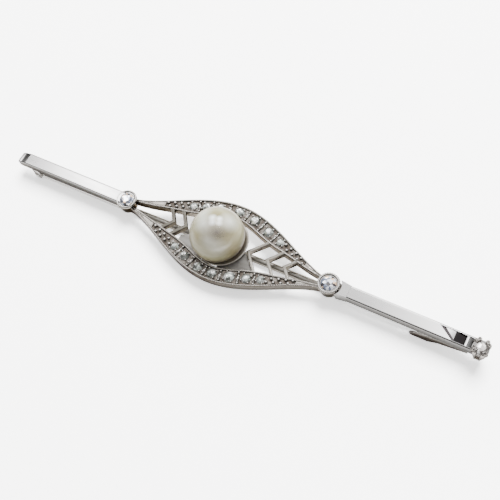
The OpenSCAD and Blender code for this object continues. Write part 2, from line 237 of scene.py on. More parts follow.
def cut_stone(name, pale, grey, deep, flash, cell, flash_share):
    """Cut stone: a mosaic of bright, grey and dark reflections under a hard gloss."""
    n = Nodes(bpy.data.materials.new(name))
    warp = n.node("ShaderNodeVectorMath", operation="MULTIPLY_ADD")
    swirl = n.node("ShaderNodeTexNoise", Scale=cell * 0.7, Detail=2.0)
    n.link(n.coords, swirl.inputs["Vector"])
    n.link(swirl.outputs["Color"], warp.inputs[0])
    warp.inputs[1].default_value = (0.5 / cell, 0.5 / cell, 0.5 / cell)
    n.link(n.coords, warp.inputs[2])
    cells = n.node("ShaderNodeTexVoronoi", Scale=cell, Randomness=1.0)
    n.link(warp.outputs[0], cells.inputs["Vector"])
    pick = n.axis(cells.outputs["Color"], 0)
    tone = n.ramp(pick, (0.0, deep), (0.22, deep), (0.3, grey), (0.55, grey), (0.62, pale), (1.0, pale))
    spark = n.math("GREATER_THAN", n.axis(cells.outputs["Color"], 1), 1 - flash_share)
    n.put("Base Color", n.mix(spark, tone, flash))
    n.put("Metallic", 0.75)
    n.put("Roughness", 0.05)
    n.put("IOR", 2.2)
    n.put("Coat Weight", 0.5)
    n.put("Coat Roughness", 0.02)
    n.put("Coat IOR", 1.9)
    return n.owner


def soft_spot(n, place, radius):
    """Soft round patch on a surface, 1 at its middle and 0 at its edge."""
    away = n.node("ShaderNodeVectorMath", operation="DISTANCE")
    n.link(n.coords, away.inputs[0])
    away.inputs[1].default_value = place
    return n.span(away.outputs["Value"], 0.0, radius, 0.75, 0.0)


HIGHLIGHT_BLUE = (0.5, 0.53, 0.56)
DARK_REFLECTION_BROWN = (0.015, 0.008, 0.003)
GOLD_REFLECTION = (0.13, 0.09, 0.035)
PATCH_DISTANCE = 0.0033
# Painted light on the nacre: pale blue painted highlights, brown painted dark reflections and golden
# painted reflections of the metal; direction from the middle, radius, strength, colour.
PEARL_PAINTED_LIGHT = (
    ((-0.08, 0.11, 0.99), 0.0006, 1.0, HIGHLIGHT_BLUE),
    ((0.01, -0.07, 1.00), 0.00055, 0.9, HIGHLIGHT_BLUE),
    ((0.16, 0.19, 0.97), 0.0005, 0.95, HIGHLIGHT_BLUE),
    ((0.24, 0.02, 0.97), 0.0005, 0.75, HIGHLIGHT_BLUE),
    ((-0.29, -0.22, 0.93), 0.0014, 0.55, HIGHLIGHT_BLUE),
    ((0.49, 0.29, 0.82), 0.0015, 0.55, HIGHLIGHT_BLUE),
    ((-0.52, 0.16, 0.84), 0.0013, 0.4, HIGHLIGHT_BLUE),
    ((0.06, -0.66, 0.75), 0.0013, 0.3, HIGHLIGHT_BLUE),
    ((0.40, -0.68, 0.62), 0.0014, 0.25, HIGHLIGHT_BLUE),
    ((0.31, -0.32, 0.90), 0.0013, 1.25, DARK_REFLECTION_BROWN),
    ((-0.07, -0.47, 0.88), 0.0018, 0.5, DARK_REFLECTION_BROWN),
    ((0.63, -0.10, 0.77), 0.0016, 0.4, DARK_REFLECTION_BROWN),
    ((0.91, -0.39, 0.12), 0.0016, 0.6, GOLD_REFLECTION),
    ((-0.38, -0.73, 0.57), 0.0014, 0.3, GOLD_REFLECTION),
)


def pearl_lustre(name, centre):
    """Nacre: creamy grey in random bands, with painted highlights and painted dark and golden reflections
    in spots, a painted golden reflection of the cup towards its foot, and painted shade with a golden
    reflection towards its rim.
    """
    n = Nodes(bpy.data.materials.new(name))
    height = n.axis(n.coords, 2)
    bands = n.noise(330, 3, 0.55, (0.35, 0.6, 2.6))
    body = n.ramp(bands, (0.3, (0.098, 0.086, 0.046)), (0.5, (0.135, 0.121, 0.07)),
                  (0.7, (0.172, 0.159, 0.102)))
    # Painted golden reflection of the cup towards the foot.
    foot = n.span(height, centre.z - 0.0024, centre.z - 0.0008, 1.0, 0.0)
    body = n.mix(n.math("MULTIPLY", foot, 0.5), body, (0.25, 0.19, 0.11))
    for way, radius, strength, color in PEARL_PAINTED_LIGHT:
        patch = soft_spot(n, centre + Vector(way) * PATCH_DISTANCE, radius)
        body = n.mix(n.math("MULTIPLY", patch, strength), body, color)
    # Painted shade and golden reflection towards the rim, by how far the surface turns from the view.
    face = n.node("ShaderNodeLayerWeight", Blend=0.4).outputs["Facing"]
    edge = n.ramp(face, (0.0, (1.0, 0.98, 0.97)), (0.45, (0.95, 0.98, 0.93)), (0.75, (0.68, 0.63, 0.49)),
                  (1.0, (0.5, 0.42, 0.25)))
    n.put("Base Color", n.mix(1.0, body, edge, "MULTIPLY"))
    n.put("Roughness", n.span(n.noise(500, 2), 0.3, 0.7, 0.26, 0.36))
    n.put("Specular IOR Level", 0.1)
    n.put("Coat Weight", n.span(face, 0.03, 0.18, 1.0, 0.04))
    n.put("Coat Roughness", 0.24)
    n.put("Coat IOR", 2.5)
    n.put("Sheen Weight", 0.1)
    n.put("Sheen Roughness", 0.4)
    n.bump(n.noise(330, 1, 0.4), 0.08, 0.00004)
    return n.owner


def pale_floor(name):
    """Matt white table with a trace of paper tooth."""
    n = Nodes(bpy.data.materials.new(name))
    tooth = n.noise(900, 4, 0.6)
    n.put("Base Color", n.mix(n.span(tooth, 0.3, 0.7), (0.93, 0.93, 0.925), (0.96, 0.96, 0.955)))
    n.put("Roughness", 0.7)
    n.put("Emission Color", (1.0, 1.0, 1.0))
    n.put("Emission Strength", 1.1)
    n.bump(tooth, 0.05, 0.00002)
    return n.owner


MATERIALS = {}
# Key, name, colour of level faces, colour of upright faces (darker, as painted shade), roughness, wear.
METALS = (
    ("bright", "Bright grain metal", (0.62, 0.6, 0.57), (0.2, 0.182, 0.164), 0.17, 0.6),
    ("collet", "Collet metal", (0.5, 0.485, 0.465), (0.17, 0.157, 0.142), 0.16, 0.6),
    ("claw", "Claw metal", (0.33, 0.315, 0.3), (0.19, 0.176, 0.163), 0.22, 0.6),
    ("rim", "Band rim metal", (0.34, 0.318, 0.29), (0.1, 0.09, 0.078), 0.2, 0.8),
    ("wall", "Panel wall metal", (0.34, 0.325, 0.31), (0.12, 0.113, 0.105), 0.24, 1.0),
    ("chevron", "Chevron metal", (0.2, 0.187, 0.166), (0.12, 0.107, 0.09), 0.26, 1.0),
    ("dull", "Dull chevron metal", (0.13, 0.12, 0.103), (0.075, 0.065, 0.052), 0.26, 1.0),
    ("stem", "Pin stem metal", (0.55, 0.535, 0.52), (0.4, 0.385, 0.37), 0.2, 0.7),
    # Painted shadow on the pin stem where it runs under the panel.
    ("stem_shadow", "Pin stem painted shadow", (0.26, 0.245, 0.22), (0.16, 0.148, 0.13), 0.3, 1.0),
    # Darker than the cup as painted shade under the pearl.
    ("seat", "Pearl seat metal in painted shade", (0.5, 0.465, 0.41), (0.35, 0.32, 0.27), 0.35, 1.0),
    ("web", "Brushed web metal", (0.24, 0.23, 0.215), (0.14, 0.13, 0.12), 0.4, 1.6),
    # Painted dark reflection of the scooped end.
    ("shade", "Scooped end painted dark reflection", (0.03, 0.027, 0.028), (0.03, 0.028, 0.028), 0.08, 0.3),
    # Painted shade on the sloped facets at the bar's ends.
    ("facet", "Sloped facet painted shade", (0.075, 0.074, 0.073), (0.09, 0.088, 0.086), 0.2, 0.5),
    # Painted dark reflection along the wings' rounded top edges.
    ("near_edge_shade", "Near edge painted reflection", (0.08, 0.077, 0.075), (0.08, 0.077, 0.075), 0.2, 0.5),
    ("far_edge_shade", "Far edge painted reflection", (0.014, 0.013, 0.013), (0.014, 0.013, 0.013), 0.2, 0.5),
    ("cup", "Cup metal", (0.8, 0.775, 0.72), (0.6, 0.57, 0.5), 0.5, 1.0),
)


def make_materials(colors):
    # The upright faces of every polished metal take a darker colour as painted shade.
    MATERIALS["wing"] = polished_metal("Polished wing metal", tuple(colors.metal), (0.2, 0.198, 0.195),
                                       0.12, 0.6)
    for key, *values in METALS:
        MATERIALS[key] = polished_metal(*values)
    # The far band's inner wall: lighter upright faces, with painted shade darkening them towards the left
    # root.
    MATERIALS["inner_wall"] = polished_metal("Inner wall metal", (0.34, 0.325, 0.31), (0.27, 0.243, 0.21),
                                             0.3, root=(0.12, 0.1, 0.076))
    MATERIALS["dark"] = dark_metal("Oxidised setting metal and painted shade", tuple(colors.oxide), (0.5, 0.47, 0.43))
    rose = tuple(colors.rose_stone)
    MATERIALS["rose"] = cut_stone("Rose-cut stone", rose, tuple(c * 0.5 for c in rose),
                                  (0.11, 0.115, 0.105), (1.0, 1.0, 1.0), 2300, 0.12)
    MATERIALS["diamond"] = cut_stone("Brilliant-cut diamond", (0.85, 0.88, 0.95), (0.2, 0.23, 0.32),
                                     (0.05, 0.045, 0.05), (1.0, 0.72, 0.5), 2900, 0.1)
    MATERIALS["end"] = cut_stone("End diamond", (0.33, 0.315, 0.3), (0.13, 0.12, 0.112),
                                 (0.06, 0.05, 0.045), (0.9, 0.88, 0.85), 2900, 0.12)
    MATERIALS["pearl"] = pearl_lustre("Pearl nacre", at(SEAT_X, 0, CUP_MIDDLE_Z))


def bevel(bm, edges, width, segments=2):
    """Rounds edges by a width in millimetres."""
    bmesh.ops.bevel(bm, geom=list(edges), offset=width * MM, offset_type="OFFSET", segments=segments,
                    profile=0.5, affect="EDGES", material=-1, clamp_overlap=True)


def long_edges(bm, least):
    """The sharp edges that are at least so many millimetres long."""
    return [e for e in bm.edges if len(e.link_faces) == 2 and e.calc_face_angle(0) > 0.5
            and e.calc_length() >= least * MM]


def slab(bm, outline, vector):
    """Extrudes a flat outline of corner points into a solid."""
    face = bm.faces.new([bm.verts.new(p) for p in outline])
    made = bmesh.ops.extrude_face_region(bm, geom=[face])
    moved = [g for g in made["geom"] if isinstance(g, bmesh.types.BMVert)]
    bmesh.ops.translate(bm, verts=moved, vec=vector)


def turned(bm, profile, centre, steps=48):
    """Spins a radius and height profile round an upright axis through centre."""
    verts = [bm.verts.new(at(centre[0] + r, centre[1], z)) for r, z in profile]
    edges = [bm.edges.new((a, b)) for a, b in zip(verts, verts[1:])]
    bmesh.ops.spin(bm, geom=verts + edges, cent=at(centre[0], centre[1], 0), axis=(0, 0, 1),
                   angle=2 * math.pi, steps=steps, use_merge=True, use_duplicate=False)
    bmesh.ops.remove_doubles(bm, verts=bm.verts, dist=1e-7)


def rod(bm, start, end, r0, r1, segments=24):
    """A straight round rod between two points, radii in millimetres."""
    way = end - start
    turn = way.to_track_quat("Z", "Y").to_matrix().to_4x4()
    place = Matrix.Translation((start + end) / 2) @ turn
    bmesh.ops.create_cone(bm, cap_ends=True, cap_tris=False, segments=segments, radius1=r0 * MM,
                          radius2=r1 * MM, depth=way.length, matrix=place)


def ball(bm, centre, r, squash=(1, 1, 1), u=8, v=6):
    """A round or squashed grain, its radius in millimetres."""
    place = Matrix.Translation(centre) @ Matrix.Diagonal((*squash, 1))
    bmesh.ops.create_uvsphere(bm, u_segments=u, v_segments=v, radius=r * MM, matrix=place)


def cut(bm, place, normal, clear=False):
    """Cuts the whole mesh along a plane, and may clear what lies beyond it."""
    bmesh.ops.bisect_plane(bm, geom=bm.verts[:] + bm.edges[:] + bm.faces[:], dist=1e-7, plane_co=place,
                           plane_no=normal, clear_outer=clear)


def new_object(name, bm):
    mesh = bpy.data.meshes.new(name)
    bm.to_mesh(mesh)
    bm.free()
    made = bpy.data.objects.new(name, mesh)
    bpy.context.scene.collection.objects.link(made)
    return made


def finish_piece(name, bm, material, node, body="brooch", soft=True, angle=35):
    """Turns the mesh into an object that rides on a body and replaces a node of the solids."""
    bmesh.ops.recalc_face_normals(bm, faces=bm.faces)
    piece = new_object(name, bm)
    if soft:
        piece.data.shade_smooth()
        piece.data.set_sharp_from_angle(angle=math.radians(angle))
    piece.data.materials.append(MATERIALS[material])
    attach(piece, body)
    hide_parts(node)
    return piece


class BroochColors(bpy.types.PropertyGroup):
    metal: bpy.props.FloatVectorProperty(
        name="White metal", description="Colour of the polished metal", default=(0.58, 0.57, 0.565),
        subtype="COLOR", size=3, min=0, max=1)
    oxide: bpy.props.FloatVectorProperty(
        name="Oxide", description="Colour of the darkened recesses", default=(0.065, 0.054, 0.045),
        subtype="COLOR", size=3, min=0, max=1)
    rose_stone: bpy.props.FloatVectorProperty(
        name="Rose-cut stones", description="Tint of the rose-cut stones", default=(0.6, 0.64, 0.61),
        subtype="COLOR", size=3, min=0, max=1)


class BroochSizes(bpy.types.PropertyGroup):
    edge_round: bpy.props.FloatProperty(
        name="Edge rounding", description="Rounding of the bar's edges", default=0.18 * MM,
        min=0.02 * MM, max=0.2 * MM, unit="LENGTH", precision=5)
    milgrain: bpy.props.FloatProperty(
        name="Milgrain bead", description="Radius of the beads along the bands", default=0.085 * MM,
        min=0.05 * MM, max=0.12 * MM, unit="LENGTH", precision=6)
    milgrain_step: bpy.props.FloatProperty(
        name="Milgrain spacing", description="Distance between two beads", default=0.2 * MM,
        min=0.15 * MM, max=0.4 * MM, unit="LENGTH", precision=6)


# Extra materials of the wings, all painted shade and dark reflections, in the order of their slots after
# the first.
WING_EXTRAS = ("shade", "facet", "near_edge_shade", "far_edge_shade")
SHADE, SHADED_FACET, NEAR_EDGE_SHADE, FAR_EDGE_SHADE = 1, 2, 3, 4
# Cuts across the scooped end: place along the bar, slant across it, depth.
SCOOP_CUTS = ((27.8, 1.4, 0.0), (28.4, 1.2, 0.15), (28.85, 0.04, 0.2), (29.95, 0.0, 0.45),
              (30.1, 0.0, 0.12), (30.3, 0.0, 0.1), (30.85, 0.0, 0.22))
SCOOP_HALF = 0.58
# The sloped facet and the rounded tip of the hinge end, measured from the tip.
SLOPE_LENGTH = 1.6
TIP_LENGTH = 0.7


class BROOCH_OT_wings(bpy.types.Operator):
    """Builds the two polished wings of the bar"""
    bl_idname = "brooch.wings"
    bl_label = "Wings"

    def execute(self, context):
        sizes = context.scene.brooch_sizes
        wings = (("left_wing", -13.2, -BAR_END - 0.2), ("right_wing", BAR_ROOT, BAR_END + 0.35))
        for name, start, end in wings:
            bm = bmesh.new()
            half, slope = BAR_HALF, 0.35
            outline = [(-half + slope, BAR_BOTTOM), (half - slope, BAR_BOTTOM), (half, BAR_BOTTOM + slope),
                       (half, BAR_TOP), (-half, BAR_TOP), (-half, BAR_BOTTOM + slope)]
            slab(bm, [at(start, y, z) for y, z in outline], Vector(((end - start) * MM, 0, 0)))
            top = [e for e in long_edges(bm, 5) if all(v.co.z > (BAR_TOP - 0.1) * MM for v in e.verts)]
            bevel(bm, top, sizes.edge_round / MM, 6)
            self.mark_edges(bm)
            if start < 0:
                self.round_end(bm, at(end, 0, 0).x)
            else:
                self.scoop_end(bm)
            piece = finish_piece(name, bm, "wing", "frame", angle=17)
            for extra in WING_EXTRAS:
                piece.data.materials.append(MATERIALS[extra])
            self.keep_flat(piece)
        self.shoulder(sizes)
        return {"FINISHED"}

    def keep_flat(self, piece):
        """Marks the border of the level faces as sharp, so that rounded edges don't bend their shading."""
        level, sloped = set(), set()
        for face in piece.data.polygons:
            (level if abs(face.normal.z) > 0.9995 else sloped).update(face.edge_keys)
        for edge in piece.data.edges:
            if edge.key in level and edge.key in sloped:
                edge.use_edge_sharp = True

    def mark_edges(self, bm):
        """Paints the two rounded long edges of the top dark, as painted dark reflection."""
        bm.normal_update()
        for f in bm.faces:
            if f.normal.z > 0.25 and abs(f.normal.y) > 0.25:
                f.material_index = NEAR_EDGE_SHADE if f.normal.y < 0 else FAR_EDGE_SHADE

    def shoulder(self, sizes):
        """Flared root of the right wing, hollowed out to follow the collet, over its neck, whose dark metal
        is painted shade in the gap.
        """
        bm = bmesh.new()
        reach = [math.radians(a) for a in range(-42, 43, 4)]
        outline = [(COLLET_X + 1.43 * math.cos(a), 1.43 * math.sin(a)) for a in reach]
        outline += [(15.5, 0.92), (16.1, 0.83), (16.42, 0.8), (16.42, -0.8), (16.1, -0.83), (15.5, -0.92)]
        slab(bm, [at(x, y, BAR_TOP) for x, y in outline], Vector((0, 0, -1.3 * MM)))
        top = [e for e in bm.edges if all(v.co.z > (BAR_TOP - 0.01) * MM for v in e.verts)
               and not all(v.co.x > at(BAR_ROOT, 0, 0).x for v in e.verts)]
        bevel(bm, top, sizes.edge_round / MM, 4)
        self.keep_flat(finish_piece("right_shoulder", bm, "wing", "frame", angle=25))
        # The neck's dark metal is painted shade in the gap between collet and shoulder.
        bm = bmesh.new()
        slab(bm, [at(14.6, y, z) for y, z in ((-0.72, 1.5), (0.72, 1.5), (0.72, 2.4), (-0.72, 2.4))],
             Vector((1.0 * MM, 0, 0)))
        finish_piece("right_neck_shade", bm, "dark", "frame")

    def scoop_end(self, bm):
        """Sinks the mirror-bright scoop into the bar's top beside the claw setting; its arc and square
        carry painted dark reflection and its last facet painted shade.
        """
        for x, slant, depth in SCOOP_CUTS:
            cut(bm, at(x, 0, 0), (1, slant, 0))
        for y in (-SCOOP_HALF, SCOOP_HALF):
            cut(bm, at(0, y, 0), (0, 1, 0))
        top = BAR_TOP * MM - 1e-6
        for v in bm.verts:
            if v.co.z < top or not abs(v.co.y) / MM < SCOOP_HALF + 0.01:
                continue
            depths = [depth for x, slant, depth in SCOOP_CUTS
                      if abs((v.co.x - at(x, 0, 0).x) + slant * v.co.y) < 1e-6 * math.hypot(1, slant)]
            if depths:
                v.co.z -= max(depths) * MM * (0.8 if v.co.y > 0 else 1.0)
        for f in bm.faces:
            middle = f.calc_center_median()
            x, y = middle.x / MM + CENTRE_X, middle.y / MM
            if middle.z < 2.3 * MM or abs(y) > SCOOP_HALF or abs(f.normal.x) > 0.9:
                continue
            passed = [x + slant * y > start for start, slant, depth in SCOOP_CUTS]
            # Painted dark reflection on the slanted arc between the first two cuts and the square after the
            # third; painted shade on the facet beyond.
            if passed[0] and not passed[1] or passed[2] and not passed[3]:
                f.material_index = SHADE
            elif x > 30.28:
                f.material_index = SHADED_FACET

    def round_end(self, bm, end):
        """Slopes the last part of the hinge end down to a rounded pale tip, with painted shade on the
        slope.
        """
        for inset in (0.05, 0.12, 0.22, 0.36, 0.52, TIP_LENGTH, 1.1, SLOPE_LENGTH):
            cut(bm, (end + inset * MM, 0, 0), (1, 0, 0))
        for v in bm.verts:
            d = (v.co.x - end) / MM
            upper = v.co.z > (BAR_TOP + BAR_BOTTOM) / 2 * MM
            if d < SLOPE_LENGTH and upper:
                v.co.z -= 0.3 * (SLOPE_LENGTH - max(d, TIP_LENGTH)) * MM
            if d < TIP_LENGTH:
                share = 1 - math.sqrt(max(0.0, 1 - (1 - d / TIP_LENGTH) ** 2))
                v.co.z -= share * MM * (0.5 if upper else -0.3)
                v.co.y *= 1 - 0.3 * share
        # Painted shade on the sloped facet.
        for f in bm.faces:
            middle = f.calc_center_median()
            sloped = TIP_LENGTH < (middle.x - end) / MM < SLOPE_LENGTH
            if sloped and middle.z > 2.3 * MM and abs(middle.y) < 0.72 * MM:
                f.material_index = SHADED_FACET


RIM_WIDTH = 0.26
RIM_SHARE = 0.42
BAND_COLUMNS = 220
BAND_ROWS = 14
BAND_FLOOR, BAND_WALL = 1, 2


class BROOCH_OT_bands(bpy.types.Operator):
    """Builds the two set bands with their rounded rims and dark floors"""
    bl_idname = "brooch.bands"
    bl_label = "Bands"

    def execute(self, context):
        first, last = TIP_LEFT - 0.1, TIP_RIGHT + 0.1
        for name, way, wall in (("far_band", 1, "inner_wall"), ("near_band", -1, "wall")):
            bm = bmesh.new()
            bmesh.ops.create_grid(bm, x_segments=BAND_COLUMNS, y_segments=BAND_ROWS, size=1.0)
            for v in bm.verts:
                x = v.co.x * COLLET_X * 0.985
                row = round((v.co.y + 1) / 2 * BAND_ROWS)
                set_part = smooth_step((x - first) / 0.15) * smooth_step((last - x) / 0.15)
                across, depth = self.section(row, band_width(x), set_part)
                v.co = at(x, way * (inner_y(x) + across), PANEL_TOP - depth)
            dark = [f for f in bm.faces if all(v.co.z < (PANEL_TOP - 0.12) * MM for v in f.verts)
                    and abs(f.normal.z) > 0.3]
            for f in dark:
                f.material_index = BAND_FLOOR
            self.thicken(bm)
            piece = finish_piece(name, bm, "rim", "frame", angle=24)
            piece.data.materials.append(MATERIALS["dark"])
            piece.data.materials.append(MATERIALS[wall])
        return {"FINISHED"}

    def section(self, row, width, set_part):
        """Place of one row across the band, and its depth below the top: a rim at both sides."""
        rim = min(RIM_WIDTH, width * RIM_SHARE)
        if row > BAND_ROWS // 2:
            across, depth = self.section(BAND_ROWS - row, width, set_part)
            return width - across, depth
        # Share of the rim's width and depth of the first rows.
        shares = ((0.0, 0.14), (0.03, 0.06), (0.2, 0.01), (0.5, 0.0), (0.8, 0.02), (1.0, 0.07))
        if row < 6:
            return rim * shares[row][0], shares[row][1]
        if row == 6:
            return min(rim + 0.03, width / 2), 0.07 + 0.11 * set_part
        return width / 2, 0.05 + 0.13 * set_part

    def thicken(self, bm):
        """Draws the outline down to the panel's underside and closes it."""
        rim = [e for e in bm.edges if e.is_boundary]
        made = bmesh.ops.extrude_edge_only(bm, edges=rim)
        low = [g for g in made["geom"] if isinstance(g, bmesh.types.BMVert)]
        for v in low:
            v.co.z = PANEL_BOTTOM * MM
        for f in made["geom"]:
            if isinstance(f, bmesh.types.BMFace):
                f.material_index = BAND_WALL
        low_edges = [g for g in made["geom"] if isinstance(g, bmesh.types.BMEdge) and g.is_boundary]
        filled = bmesh.ops.triangle_fill(bm, edges=low_edges, use_beauty=True)
        for f in filled["geom"]:
            if isinstance(f, bmesh.types.BMFace):
                f.material_index = BAND_WALL


class BROOCH_OT_milgrain(bpy.types.Operator):
    """Lays rows of fine beads along both edges of the bands"""
    bl_idname = "brooch.milgrain"
    bl_label = "Milgrain"

    def execute(self, context):
        sizes = context.scene.brooch_sizes
        for name, way in (("far_milgrain", 1), ("near_milgrain", -1)):
            bm = bmesh.new()
            for outer in (False, True):
                size = sizes.milgrain / MM * (1.0 if outer and way < 0 else 0.75)
                self.row(bm, way, outer, size, sizes.milgrain_step / MM)
            finish_piece(name, bm, "bright", "frame", angle=180)
        return {"FINISHED"}

    def row(self, bm, way, outer, radius, step):
        """Beads at even spacing along the middle of one rim."""
        x = -13.0
        last = None
        while x < 13.0:
            half_rim = min(RIM_WIDTH, band_width(x) * RIM_SHARE) * 0.5
            y = outer_y(x) - half_rim if outer else inner_y(x) + half_rim
            if last is None or math.hypot(x - last[0], y - last[1]) >= step:
                r = radius * (0.6 + 0.4 * min(1.0, band_width(x)))
                ball(bm, at(x, way * y, PANEL_TOP - 0.01), r, (1, 1, 0.8), 6, 4)
                last = (x, y)
            x += 0.02


class BROOCH_OT_grains(bpy.types.Operator):
    """Raises the bead grains that hold the rose-cut stones and fill the tips"""
    bl_idname = "brooch.grains"
    bl_label = "Grains"

    def execute(self, context):
        for name, way, stones in (("far_grains", 1, FAR_STONES), ("near_grains", -1, NEAR_STONES)):
            bm = bmesh.new()
            for x, d in stones:
                self.four_grains(bm, x, d, way)
            for a, b in zip(stones, stones[1:]):
                self.bridge(bm, a, b, way)
            self.tip_grains(bm, way, stones[0][0] - stones[0][1] / 2 - 0.22, -1)
            self.tip_grains(bm, way, stones[-1][0] + stones[-1][1] / 2 + 0.22, 1)
            finish_piece(name, bm, "bright", "frame", angle=180)
        return {"FINISHED"}

    def bridge(self, bm, a, b, way):
        """A low ridge left standing between two stones, under a row of four grains."""
        x = (a[0] + a[1] / 2 + b[0] - b[1] / 2) / 2
        gap = b[0] - a[0] - (a[1] + b[1]) / 2
        wide = max(0.14, min(0.4, gap - 0.12))
        half = band_width(x) * 0.36
        slope = (middle_y(x + 0.1) - middle_y(x - 0.1)) / 0.2
        rod(bm, at(x + half * slope, way * (middle_y(x) - half), PANEL_TOP - 0.2),
            at(x - half * slope, way * (middle_y(x) + half), PANEL_TOP - 0.2), wide / 2, wide / 2, 10)
        for dy, dx in ((-0.8, 0.0), (-0.27, 0.07), (0.27, -0.07), (0.8, 0.0)):
            place = at(x + dx - dy * half * slope, way * (middle_y(x) + dy * half), PANEL_TOP - 0.06)
            ball(bm, place, 0.16, (1, 1, 0.8))

    def four_grains(self, bm, x, d, way):
        """The grains pressed over a stone's corners."""
        reach = d / 2 + 0.02
        for angle in (45, 135, 225, 315):
            a = math.radians(angle)
            gx = x + reach * math.cos(a)
            gy = middle_y(x) + reach * math.sin(a)
            ball(bm, at(gx, way * gy, PANEL_TOP + 0.02), 0.13, (1, 1, 0.8))

    def tip_grains(self, bm, way, x, step):
        """Two staggered rows of grains that carry the pattern over the dark ground into the tips."""
        side = 1
        while TIP_LEFT < x < TIP_RIGHT:
            wide = min(1.2, band_width(x))
            away = side * (0.04 + 0.17 * wide)
            place = at(x, way * (middle_y(x) + away), PANEL_TOP - 0.03)
            ball(bm, place, 0.09 + 0.1 * wide, (1, 1, 0.8), 10, 6)
            side = -side
            x += step * (0.26 + 0.12 * wide)


class BROOCH_OT_chevrons(bpy.types.Operator):
    """Builds the chevrons that cross the panel's openings"""
    bl_idname = "brooch.chevrons"
    bl_label = "Chevrons"

    def execute(self, context):
        sides = (("right_chevrons", "chevron", 1, 0.88, (3.05, 5.65, 7.9)),
                 ("left_chevrons", "dull", -1, 0.72, (5.15, 6.85)))
        for name, material, way, rake, corners in sides:
            bm = bmesh.new()
            for x in corners:
                self.chevron(bm, x, rake, way)
            top = [e for e in bm.edges if all(v.co.z > (PANEL_TOP - 0.04) * MM for v in e.verts)
                   and e.calc_length() > 0.6 * MM]
            bevel(bm, top, 0.05, 2)
            finish_piece(name, bm, material, "frame", angle=30)
        return {"FINISHED"}

    def chevron(self, bm, x, rake, way):
        """Two raked arms that meet on the panel's middle line and run into the bands."""
        reach = 0.0
        while reach < inner_y(x + rake * reach) + 0.15:
            reach += 0.02
        width = 0.5
        points = [(x, 0), (x + rake * reach, reach), (x + rake * reach + width, reach), (x + width, 0),
                  (x + rake * reach + width, -reach), (x + rake * reach, -reach)]
        slab(bm, [at(way * px, py, PANEL_TOP - 0.03) for px, py in points], Vector((0, 0, -0.77 * MM)))


class BROOCH_OT_cup(bpy.types.Operator):
    """Turns the polished dish that carries the pearl, its seat and the thin plates beside it"""
    bl_idname = "brooch.cup"
    bl_label = "Cup"

    def execute(self, context):
        inside, outside, middle = 3.45, 3.69, CUP_MIDDLE_Z
        inner = [(inside * math.sin(a), middle - inside * math.cos(a))
                 for a in (math.radians(t) for t in range(44, 63, 3))]
        outer = [(outside * math.sin(a), middle - outside * math.cos(a))
                 for a in (math.radians(t) for t in range(63, 43, -3))]
        lip, foot = [(3.2, 2.36), (3.3, 2.36)], [(2.4, 1.16), (0.0, 1.16)]
        profile = [(0.0, 1.42), (2.3, 1.42)] + inner + lip + outer + foot
        bm = bmesh.new()
        turned(bm, profile, (-0.3, 0), 72)
        finish_piece("pearl_cup", bm, "cup", "frame", angle=40)
        self.seat()
        self.webs()
        return {"FINISHED"}

    def seat(self):
        """The ring that the pearl sits in; its rim moves to the right, where the cup's middle is. Its
        darker metal is painted shade under the pearl.
        """
        bm = bmesh.new()
        turned(bm, [(2.62, 1.98), (2.74, 2.13), (2.86, 2.22), (3.02, 2.29), (3.2, 2.35), (3.3, 2.35),
                    (3.34, 2.3), (3.2, 2.1), (2.62, 1.98)], (SEAT_X, 0), 72)
        centre = at(SEAT_X, 0, 0)
        for v in bm.verts:
            r = math.hypot(v.co.x - centre.x, v.co.y) / MM
            v.co.x += 0.2 * MM * max(0.0, min(1.0, (r - 2.75) / 0.5))
        finish_piece("pearl_seat", bm, "seat", "frame", angle=60)

    def webs(self):
        """The plates between the cup and the near band, at both sides."""
        bm = bmesh.new()
        right = ((3.1, -0.2), (4.9, -1.98), (4.0, -2.36), (3.0, -2.7), (2.1, -3.0), (1.5, -3.1),
                 (0.6, -3.1), (1.3, -2.5), (1.95, -1.9), (2.45, -1.2), (2.75, -0.4))
        left = ((-3.3, -0.6), (-4.6, -0.7), (-5.5, -1.2), (-5.5, -1.9), (-4.3, -2.3), (-3.2, -2.7),
                (-2.2, -2.98), (-1.6, -3.05), (-2.1, -2.3), (-2.8, -1.5))
        for web in (right, left):
            slab(bm, [at(x, y, 1.95) for x, y in web], Vector((0, 0, -0.2 * MM)))
        finish_piece("cup_web", bm, "web", "frame", angle=30)


COLLET_LEAN = 0.1


class BROOCH_OT_collets(bpy.types.Operator):
    """Turns the two side collets and beads the right one's rim"""
    bl_idname = "brooch.collets"
    bl_label = "Side collets"

    def execute(self, context):
        # The right collet stands a little prouder and nearer to the panel.
        for name, x, rise, grow in (("left_collet", -COLLET_X, 0.0, 1.06),
                                    ("right_collet", COLLET_X, COLLET_LEAN, 1.05)):
            bm = bmesh.new()
            profile = [(0.45, 1.32), (1.0, 1.32), (1.06, 1.4), (1.17, 2.5), (1.24, 2.6), (1.25, 2.78),
                       (1.22, 2.9), (1.15, 2.96), (1.08, 2.96), (1.0, 2.88), (0.97, 2.8), (0.91, 2.8),
                       (0.9, 2.72), (0.46, 2.1), (0.45, 1.32)]
            turned(bm, [(r * grow, z + (rise if z > 2.0 else 0.0)) for r, z in profile], (x - rise, 0), 48)
            finish_piece(name, bm, "collet", "frame", angle=50)
        bm = bmesh.new()
        beads, ring = 30, 1.28
        for k in range(beads):
            a = 2 * math.pi * k / beads
            place = at(COLLET_X - COLLET_LEAN + ring * math.cos(a), ring * math.sin(a), 2.9)
            ball(bm, place, 0.115)
        finish_piece("right_collet_beads", bm, "bright", "frame", angle=180)
        return {"FINISHED"}


# A half claw from foot to tip: distance from the middle, height, angle from its corner, thickness.
PRONG = ((0.76, 1.4, 19, 0.13), (0.88, 2.1, 19, 0.15), (1.0, 2.65, 18, 0.18), (1.06, 3.0, 16, 0.21),
         (1.04, 3.25, 13, 0.23), (0.95, 3.45, 10, 0.22), (0.8, 3.55, 6, 0.19))


